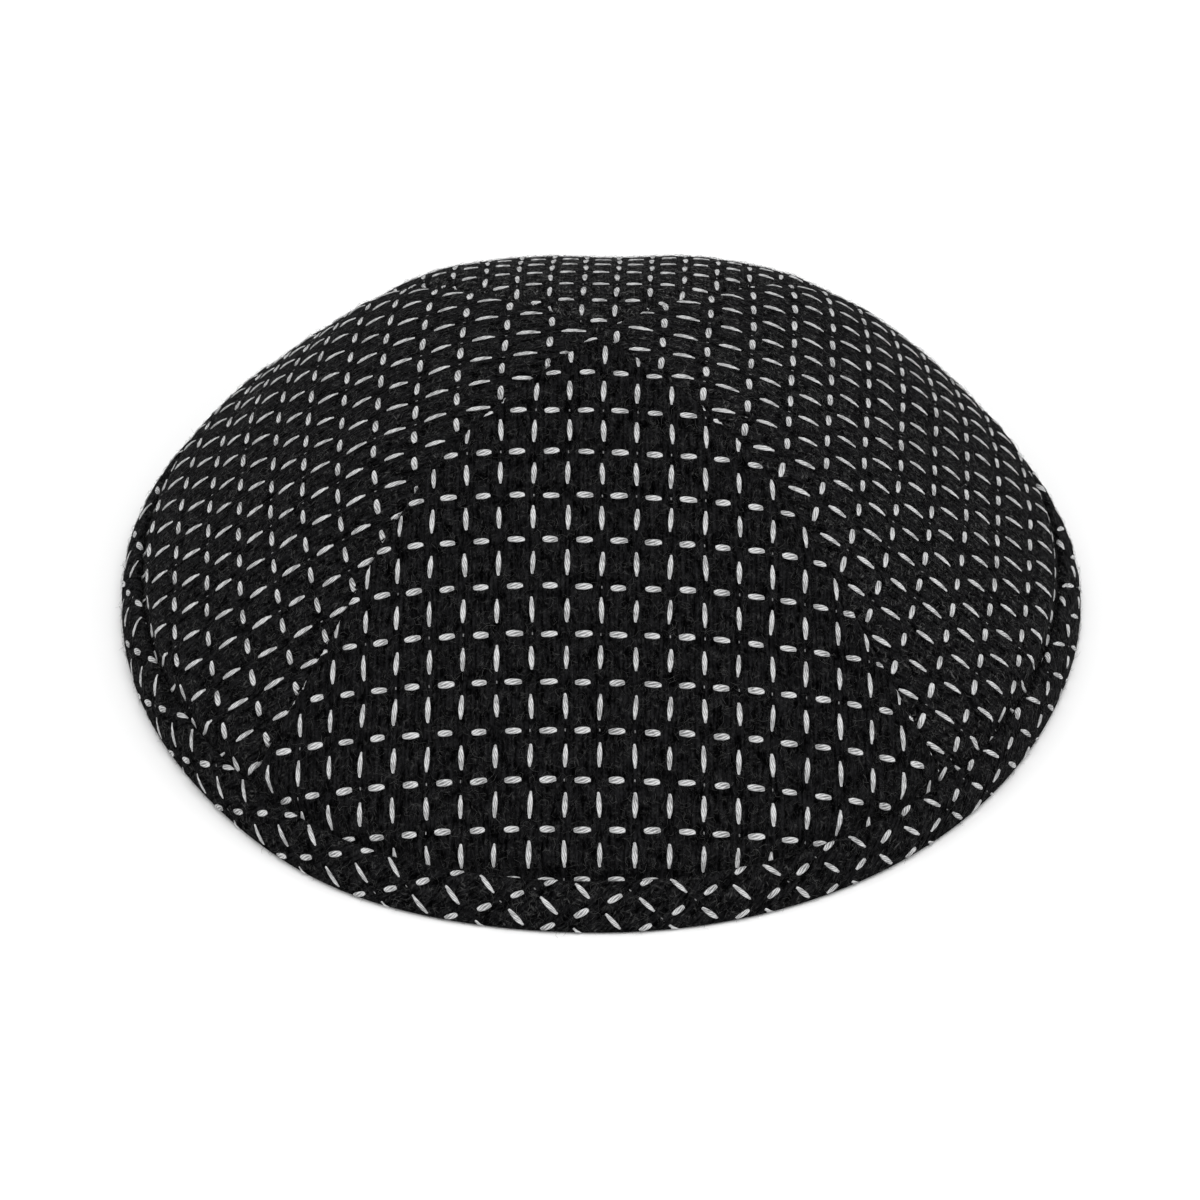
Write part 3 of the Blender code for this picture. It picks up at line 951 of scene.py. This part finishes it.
def fibre_tree(material):
    """Loose hairs scattered on the shown side of a cloth."""
    tree, given, out = new_tree(
        "loose wool fibres", "GeometryNodeTree",
        {"Geometry": ["Geometry"], "Object": ["Straight fibre", "Bent fibre"], "Float": ["Density"],
         "Int": ["Seed"]}, {"Geometry": ["Geometry"]})
    bare = maths(tree, "GREATER_THAN", named(tree, "shown"), FIBRES_ABOVE)
    branches = []
    for k, label in enumerate(("Straight fibre", "Bent fibre")):
        spots = add(tree, "GeometryNodeDistributePointsOnFaces",
                    [("Mesh", given["Geometry"]), ("Selection", bare), ("Density", given["Density"]),
                     ("Seed", Reading(tree, given["Seed"]) + float(k))], distribute_method="RANDOM")
        turned = spots.outputs["Rotation"]
        spin = combine(tree, 0.0, 0.0, random_value(tree, 0.0, 2 * math.pi, k + 35))
        tilt = combine(tree, *[random_value(tree, low, high, k + seed) for low, high, seed in FIBRE_TILTS])
        for by in (spin, tilt):
            turned = add(tree, "FunctionNodeRotateRotation", [("Rotation", turned), ("Rotate By", by)],
                         rotation_space="LOCAL").outputs[0]
        branches.append(laid_on(tree, spots.outputs["Points"], given[label], Rotation=turned,
                                Scale=random_value(tree, *FIBRE_SIZES, k + 45)))
    return finish_tree(tree, out, branches, material)


def add_piece(name, mesh):
    piece = bpy.data.objects.new(name, mesh)
    bpy.context.scene.collection.objects.link(piece)
    return piece


def grow(name, base_mesh, tree, values, material):
    """Runs a tree on a mesh with these named values, and keeps the result as a plain object."""
    holder = add_piece(name + "_holder", base_mesh)
    modifier = holder.modifiers.new("grow", "NODES")
    modifier.node_group = tree
    for item in tree.interface.items_tree:
        if item.in_out == "INPUT" and item.name in values:
            modifier[item.identifier] = values[item.name]
    holder.update_tag()
    bpy.context.view_layer.update()
    evaluated = holder.evaluated_get(bpy.context.evaluated_depsgraph_get())
    mesh = bpy.data.meshes.new_from_object(evaluated)
    mesh.name = name
    mesh.materials.clear()
    mesh.materials.append(material)
    bpy.data.objects.remove(holder)
    return add_piece(name, mesh)


# Patterns and materials

def noise(tree, vector, scale, detail=2.0, roughness=0.5):
    node = add(tree, "ShaderNodeTexNoise", [("Vector", vector), ("Scale", scale), ("Detail", detail),
                                            ("Roughness", roughness)])
    return Reading(tree, node.outputs[0])


def long_noise(tree, vector, across, along, detail=2.0, roughness=0.5):
    """Noise drawn out lengthwise: its scales across and along."""
    return noise(tree, vector_math(tree, "MULTIPLY", vector, (across, along, 1.0)), 1.0, detail, roughness)


def over_range(tree, value, low, high, to_low=0.0, to_high=1.0):
    """A value between low and high, carried over to another range."""
    return add(tree, "ShaderNodeMapRange", [("Value", value), ("From Min", low), ("From Max", high),
                                            ("To Min", to_low), ("To Max", to_high)]).outputs[0]


def layered(tone, layers):
    """A tone that each pattern swings either way by its own strength."""
    for pattern, strength in layers:
        tone = (pattern - 0.5) * strength + tone
    return tone


def blend(tree, share, first, second):
    """A colour between two."""
    node = add(tree, "ShaderNodeMix", [("Factor", share), (6, first), (7, second)], data_type="RGBA",
               clamp_factor=True)
    return node.outputs[2]


def object_place(tree):
    return add(tree, "ShaderNodeTexCoord").outputs["Object"]


def attribute(tree, name):
    return Reading(tree, add(tree, "ShaderNodeAttribute", attribute_name=name).outputs["Fac"])


def flat_place(tree, layer):
    return add(tree, "ShaderNodeUVMap", uv_map=layer).outputs[0]


def wool_weave():
    """Lengthwise yarns with their crossings, streaky fibres and stray hairs, on flat places in mm, with
    painted shade in the gaps between the yarns and where they pass under.
    """
    tree, given, out = new_tree(
        "wool weave", "ShaderNodeTree",
        {"Vector": ["Place"], "Float": ["Yarn pitch", "Pick pitch"], "Color": ["Shade", "Light"]},
        {"Color": ["Color"], "Float": ["Height", "Fuzz"]})
    place = given["Place"]
    across, up, _ = split(tree, place)
    lane = across / given["Yarn pitch"] + noise(tree, place, 0.35) * 0.7
    yarn = maths(tree, "POWER", maths(tree, "ABSOLUTE", maths(tree, "SINE", lane * math.pi)), 0.6)
    pick = up / given["Pick pitch"] + maths(tree, "FLOOR", lane) * 0.5 + noise(tree, place, 0.8, 1.0) * 0.8
    over = maths(tree, "COSINE", pick * (2 * math.pi)) * 0.5 + 0.5
    knit_and_gap_shade = yarn * (over * 0.5 + 0.5)
    streaks = long_noise(tree, place, 1.3, 0.30, 2.0, 0.55)
    fine = long_noise(tree, place, 5.5, 1.6, 2.0, 0.6)
    blotches = noise(tree, place, 0.45)
    off_line = maths(tree, "ABSOLUTE", noise(tree, place, 1.7, 1.0) - 0.5)
    fuzz = maths(tree, "SUBTRACT", 1.0, maths(tree, "MINIMUM", off_line / HAIR_LINE, 1.0))
    for turn in (20, 68, 112, 160):
        turned = add(tree, "ShaderNodeVectorRotate", [("Vector", place), ("Angle", math.radians(turn))],
                     rotation_type="Z_AXIS").outputs[0]
        lint = over_range(tree, long_noise(tree, turned, 2.5, 0.5, 1.0), 0.65, 0.71)
        fuzz = maths(tree, "MAXIMUM", fuzz, lint)
    feed(tree, out["Fuzz"], fuzz * over_range(tree, noise(tree, place, 0.75, 1.0), 0.38, 0.62, 0.15, 1.9))
    # the knit darkens the tone as painted shade in the gaps between yarns and where they pass under
    tone = layered(0.40, ((streaks, 2.6), (fine, 2.0), (blotches, 1.4))) * (knit_and_gap_shade * 0.7 + 0.47)
    feed(tree, out["Color"], blend(tree, tone, given["Shade"], given["Light"]))
    feed(tree, out["Height"], knit_and_gap_shade + streaks * 0.5 + fine * 0.35)
    return tree


def new_material(name, values):
    """A material, its tree and its shader with these values."""
    material = bpy.data.materials.new(name)
    material.use_nodes = True
    tree = material.node_tree
    shader = tree.nodes["Principled BSDF"]
    for label, value in values.items():
        shader.inputs[label].default_value = value
    return material, tree, shader


def raised(tree, shader, strength, distance, height):
    values = [("Strength", strength), ("Distance", distance), ("Height", height)]
    feed(tree, shader.inputs["Normal"], add(tree, "ShaderNodeBump", values).outputs[0])


def wool_cloth(name, weave, turn):
    """Charcoal wool that reads its flat place on the cloth, with more or less loose wool and painted sheen
    on it.
    """
    material, tree, shader = new_material(name, {
        "Roughness": 0.92, "Specular IOR Level": 0.0, "Sheen Weight": 0.03, "Sheen Roughness": 0.25,
        "Sheen Tint": (0.75, 0.75, 0.78, 1)})
    to_mm = 1 / (UV_PER_METRE * MM)
    place = add(tree, "ShaderNodeMapping", [("Vector", flat_place(tree, "cloth")), ("Scale", [to_mm] * 3),
                                            ("Rotation", (0.0, 0.0, turn))]).outputs[0]
    cloth = add(tree, "ShaderNodeGroup", node_tree=weave)
    for label, value in (("Place", place), ("Yarn pitch", 0.78), ("Pick pitch", 1.15),
                         ("Shade", (0.0003, 0.0003, 0.0004, 1)), ("Light", (0.0118, 0.0118, 0.0126, 1))):
        feed(tree, cloth.inputs[label], value)
    # grey of loose wool, stronger on the panels seen at a slant as painted sheen, and weaker along the
    # threads as painted shade
    loose = attribute(tree, "nap_and_sheen") * cloth.outputs["Fuzz"]
    feed(tree, shader.inputs["Base Color"],
         blend(tree, loose, cloth.outputs["Color"], (0.17, 0.17, 0.167, 1)))
    raised(tree, shader, 0.9, 0.22 * MM, cloth.outputs["Height"])
    return material


def white_wool():
    """Off-white yarn with fine lines along its strands, and dimmer hairs."""
    material, tree, shader = new_material("white_wool_yarn", {"Roughness": 0.85, "Specular IOR Level": 0.1})
    round_it, along, _ = split(tree, flat_place(tree, "yarn"))
    lines = long_noise(tree, combine(tree, round_it - along * 0.16, along), 7.0, 0.4)
    specks = noise(tree, object_place(tree), 1400.0, 2.0, 0.6)
    # the stored tone differs at random on the threads, and is painted shade on the sunk specks
    tone = layered(0.55, ((lines, 4.0), (specks, 0.9), (attribute(tree, "tone"), 0.22)))
    tone = tone - maths(tree, "LESS_THAN", along, HAIR_PLACE[1] / 2)
    feed(tree, shader.inputs["Base Color"],
         blend(tree, tone, (0.13, 0.13, 0.131, 1), (0.612, 0.614, 0.617, 1)))
    raised(tree, shader, 0.8, 0.15 * MM, lines)
    return material


def loose_wool():
    """Grey and black hairs that stand off the cloth."""
    values = {"Roughness": 0.7, "Specular IOR Level": 0.3}
    material, tree, shader = new_material("loose_wool_fibres", values)
    shade = over_range(tree, noise(tree, object_place(tree), 260.0, 1.0), 0.35, 0.7)
    feed(tree, shader.inputs["Base Color"],
         blend(tree, shade, (0.008, 0.008, 0.008, 1), (0.10, 0.10, 0.098, 1)))
    return material


def pale_floor():
    material, tree, shader = new_material("pale_floor", {"Roughness": 0.9, "Specular IOR Level": 0.1})
    cloud = noise(tree, object_place(tree), 3.0)
    feed(tree, shader.inputs["Base Color"],
         blend(tree, cloud, (0.86, 0.86, 0.86, 1), (0.88, 0.88, 0.88, 1)))
    return material


# Putting it together

def panel_check(column, row, turn):
    turn = math.radians(turn)
    column_step = np.array([math.cos(turn), -math.sin(turn), 0]) * COLUMN_PITCH
    row_step = np.array([-math.sin(turn), -math.cos(turn), 0]) * ROW_PITCH
    first_column, first_row = round(column), round(row + ROWS_TO_MIDDLE)
    first = (first_column - column) * column_step + (first_row - row) * row_step
    return first, column_step, row_step, -turn, -turn


def binding_check(length):
    period = length / round(length / BIAS_PERIOD)
    column_step = np.array([*BIAS_COLUMN, 0])
    row_step = np.array([period, 0, 0]) - 2 * column_step
    long_turn = math.atan2(-row_step[1], -row_step[0]) - math.pi / 2
    short_turn = math.atan2(column_step[1], column_step[0])
    first = np.array([*BIAS_START, 0]) - row_step / 2
    return first, column_step, row_step, long_turn, short_turn


def dress_cap():
    weave = wool_weave()
    panel_wool = wool_cloth("charcoal_wool", weave, 0.0)
    binding_wool = wool_cloth("charcoal_wool_bias", weave, math.radians(45))
    white, loose = white_wool(), loose_wool()
    threads, fibres = thread_tree(white), fibre_tree(loose)
    templates = {"Long thread": long_thread(), "Short thread": short_thread(),
                 "Crossing dot": crossing_dot(),
                 "Straight fibre": fibre("straight_fibre", 1.7 * MM, 0.16 * MM, 0.30 * MM),
                 "Bent fibre": fibre("bent_fibre", 1.2 * MM, 0.22 * MM, 0.45 * MM)}

    def dress(node, wool, shell, carrier, check, counts, thread_size, seed):
        """One CAD piece's cloth, white threads and loose hairs."""
        cloth = add_piece(node + "_cloth", shell)
        shell.materials.append(wool)
        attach(cloth, "root")
        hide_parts(node)
        first, column_step, row_step, long_turn, short_turn = check
        values = {**templates, "Columns": counts[0], "Rows": counts[1], "First crossing": tuple(first),
                  "Column step": tuple(column_step), "Row step": tuple(row_step), "Long turn": long_turn,
                  "Short turn": short_turn, "Thread size": thread_size,
                  "Density": FIBRES_PER_SQUARE_MM / MM ** 2, "Seed": seed}
        yarn = grow(node + "_threads", carrier, threads, values, white)
        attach(yarn, "root")
        hairs = grow(node + "_fibres", carrier, fibres, values, loose)
        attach(hairs, "root")

    for k, (name, bearing, column, row, turn, nap_and_sheen) in enumerate(PANELS):
        check = panel_check(column, row, turn)
        shell, carrier = build_panel(name, bearing, check, nap_and_sheen, 60 + k)
        dress(name, panel_wool, shell, carrier, check, PANEL_CHECKS, 1.0, 70 + 2 * k)
    shell, carrier, check = build_binding()
    dress("rim_binding", binding_wool, shell, carrier, check, BINDING_CHECKS,
          BINDING_THREAD_SIZE, 90)
    for thing in templates.values():
        bpy.data.objects.remove(thing)


# Floor, light and camera

FLOOR_SIZE = 6.0
FLOOR_DEPTH = 0.2 * MM      # the floor lies this far below the rim
WORLD_LIGHT = 0.75
SOFTBOXES = (
    # name, place, aimed at, width, power
    ("softbox over", (0.15, -0.25, 1.6), (0, 0, 0), 1.2, 13.0),
    ("softbox left", (-1.4, -0.7, 0.8), (0, 0, 0.03), 0.9, 6.0),
    ("softbox right", (1.4, -0.5, 0.8), (0, 0, 0.03), 0.9, 6.0),
)
CAMERA_DISTANCE = 1.3
CAMERA_ELEVATION = math.radians(39.66)
CAMERA_LENS = 214.5
LOOKED_AT = (0.0, APEX_Y, 0.45 * HEIGHT)
AIM_BELOW = math.radians(0.998)     # the photo shows the cap a little above its middle
AIM_RIGHT = math.radians(0.012)


def build_stage():
    size = FLOOR_SIZE
    mesh = bpy.data.meshes.new("floor")
    mesh.from_pydata([(-size, -size, 0), (size, -size, 0), (size, size, 0), (-size, size, 0)], [],
                     [(0, 1, 2, 3)])
    mesh.materials.append(pale_floor())
    floor = add_piece("floor", mesh)
    floor.location.z = -FLOOR_DEPTH
    world = bpy.data.worlds.new("studio")
    world.use_nodes = True
    world.node_tree.nodes["Background"].inputs["Color"].default_value = (1, 1, 1, 1)
    world.node_tree.nodes["Background"].inputs["Strength"].default_value = WORLD_LIGHT
    bpy.context.scene.world = world
    for name, place, aim, width, power in SOFTBOXES:
        light = bpy.data.lights.new(name, "AREA")
        light.size, light.energy = width, power
        lamp = add_piece(name, light)
        lamp.location = place
        lamp.rotation_euler = (Vector(aim) - Vector(place)).to_track_quat("-Z", "Y").to_euler()


def build_camera():
    data = bpy.data.cameras.new("camera")
    data.sensor_width, data.lens = 36.0, CAMERA_LENS
    data.clip_start, data.clip_end = 0.01, 50.0
    camera = add_piece("camera", data)
    x, y, z = LOOKED_AT
    camera.location = (x, y - CAMERA_DISTANCE * math.cos(CAMERA_ELEVATION),
                       z + CAMERA_DISTANCE * math.sin(CAMERA_ELEVATION))
    camera.rotation_euler = (math.pi / 2 - CAMERA_ELEVATION - AIM_BELOW, 0.0, -AIM_RIGHT)
    bpy.context.scene.camera = camera


bpy.context.scene.view_settings.view_transform = "Standard"
dress_cap()
build_stage()
build_camera()
